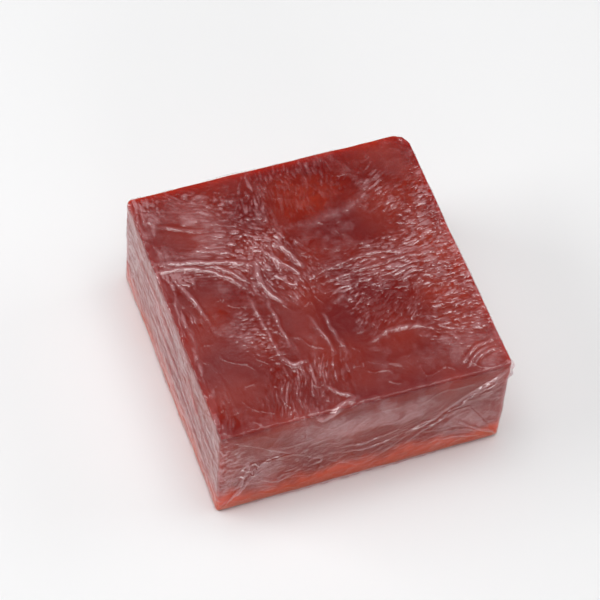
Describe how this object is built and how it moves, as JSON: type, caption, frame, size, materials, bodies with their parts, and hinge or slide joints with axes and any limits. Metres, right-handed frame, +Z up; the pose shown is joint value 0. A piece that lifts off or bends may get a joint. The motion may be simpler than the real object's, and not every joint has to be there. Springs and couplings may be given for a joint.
{
  "type": "wrapped clay bar",
  "caption": "Square translucent bar of detailing clay, wrapped in clear film that laps on top and is envelope-folded at the ends; the film opens at its folds.",
  "frame": {"origin": "middle of the underside, on the surface the bar rests on", "axes": "+X to the right, -Y towards the front end fold, +Z up through the bar's height"},
  "size_m": [0.0704, 0.0716, 0.0306],
  "materials": {
    "clay": "smooth translucent deep red, soft and slightly tacky",
    "film": "thin clear glossy plastic film, wrinkled"
  },
  "bodies": {
    "core": {"clay_bar": "clay", "film_bottom": "film"},
    "left_side": {"film_left_side": "film"},
    "right_side": {"film_right_side": "film"},
    "top_under": {"film_top_under": "film"},
    "top_over": {"film_top_over": "film"},
    "front_left_ear": {"front_left_ear": "film"},
    "front_right_ear": {"front_right_ear": "film"},
    "front_bottom_flap": {"front_bottom_flap": "film"},
    "front_top_flap_under": {"front_top_flap_under": "film"},
    "front_top_flap_over": {"front_top_flap_over": "film"},
    "back_left_ear": {"back_left_ear": "film"},
    "back_right_ear": {"back_right_ear": "film"},
    "back_bottom_flap": {"back_bottom_flap": "film"},
    "back_top_flap_under": {"back_top_flap_under": "film"},
    "back_top_flap_over": {"back_top_flap_over": "film"}
  },
  "joints": [
    {"name": "top_over_unwrap", "type": "hinge", "parent": "right_side", "child": "top_over", "pos_m": [0.03517, 0, 0.03056], "axis": [0, 1, 0], "range_deg": [0, 90]},
    {"name": "right_side_unwrap", "type": "hinge", "parent": "core", "child": "right_side", "pos_m": [0.03517, 0, 0], "axis": [0, 1, 0], "range_deg": [0, 90]},
    {"name": "left_side_unwrap", "type": "hinge", "parent": "core", "child": "left_side", "pos_m": [-0.03517, 0, 0], "axis": [0, -1, 0], "range_deg": [0, 90]},
    {"name": "top_under_unwrap", "type": "hinge", "parent": "left_side", "child": "top_under", "pos_m": [-0.03517, 0, 0.03034], "axis": [0, -1, 0], "range_deg": [0, 90]},
    {"name": "front_top_flap_over_fold", "type": "hinge", "parent": "top_over", "child": "front_top_flap_over", "pos_m": [0, -0.03583, 0.03056], "axis": [-1, 0, 0], "range_deg": [0, 90]},
    {"name": "front_top_flap_under_fold", "type": "hinge", "parent": "top_under", "child": "front_top_flap_under", "pos_m": [0, -0.03561, 0.03034], "axis": [-1, 0, 0], "range_deg": [0, 90]},
    {"name": "front_bottom_flap_fold", "type": "hinge", "parent": "core", "child": "front_bottom_flap", "pos_m": [0, -0.03539, 0], "axis": [1, 0, 0], "range_deg": [0, 63]},
    {"name": "front_left_ear_fold", "type": "hinge", "parent": "left_side", "child": "front_left_ear", "pos_m": [-0.03517, -0.03517, 0], "axis": [0, 0, -1], "range_deg": [0, 63]},
    {"name": "front_right_ear_fold", "type": "hinge", "parent": "right_side", "child": "front_right_ear", "pos_m": [0.03517, -0.03517, 0], "axis": [0, 0, 1], "range_deg": [0, 63]},
    {"name": "back_top_flap_over_fold", "type": "hinge", "parent": "top_over", "child": "back_top_flap_over", "pos_m": [0, 0.03583, 0.03056], "axis": [1, 0, 0], "range_deg": [0, 90]},
    {"name": "back_top_flap_under_fold", "type": "hinge", "parent": "top_under", "child": "back_top_flap_under", "pos_m": [0, 0.03561, 0.03034], "axis": [1, 0, 0], "range_deg": [0, 90]},
    {"name": "back_bottom_flap_fold", "type": "hinge", "parent": "core", "child": "back_bottom_flap", "pos_m": [0, 0.03539, 0], "axis": [-1, 0, 0], "range_deg": [0, 63]},
    {"name": "back_left_ear_fold", "type": "hinge", "parent": "left_side", "child": "back_left_ear", "pos_m": [-0.03517, 0.03517, 0], "axis": [0, 0, 1], "range_deg": [0, 63]},
    {"name": "back_right_ear_fold", "type": "hinge", "parent": "right_side", "child": "back_right_ear", "pos_m": [0.03517, 0.03517, 0], "axis": [0, 0, -1], "range_deg": [0, 63]}
  ],
  "couplings": [
    {"joint": "right_side_unwrap", "follows": "top_over_unwrap", "ratio": 1},
    {"joint": "left_side_unwrap", "follows": "top_over_unwrap", "ratio": 1},
    {"joint": "top_under_unwrap", "follows": "top_over_unwrap", "ratio": 1},
    {"joint": "front_top_flap_under_fold", "follows": "front_top_flap_over_fold", "ratio": 1},
    {"joint": "front_bottom_flap_fold", "follows": "front_top_flap_over_fold", "ratio": 0.7},
    {"joint": "front_left_ear_fold", "follows": "front_top_flap_over_fold", "ratio": 0.7},
    {"joint": "front_right_ear_fold", "follows": "front_top_flap_over_fold", "ratio": 0.7},
    {"joint": "back_top_flap_under_fold", "follows": "back_top_flap_over_fold", "ratio": 1},
    {"joint": "back_bottom_flap_fold", "follows": "back_top_flap_over_fold", "ratio": 0.7},
    {"joint": "back_left_ear_fold", "follows": "back_top_flap_over_fold", "ratio": 0.7},
    {"joint": "back_right_ear_fold", "follows": "back_top_flap_over_fold", "ratio": 0.7}
  ]
}
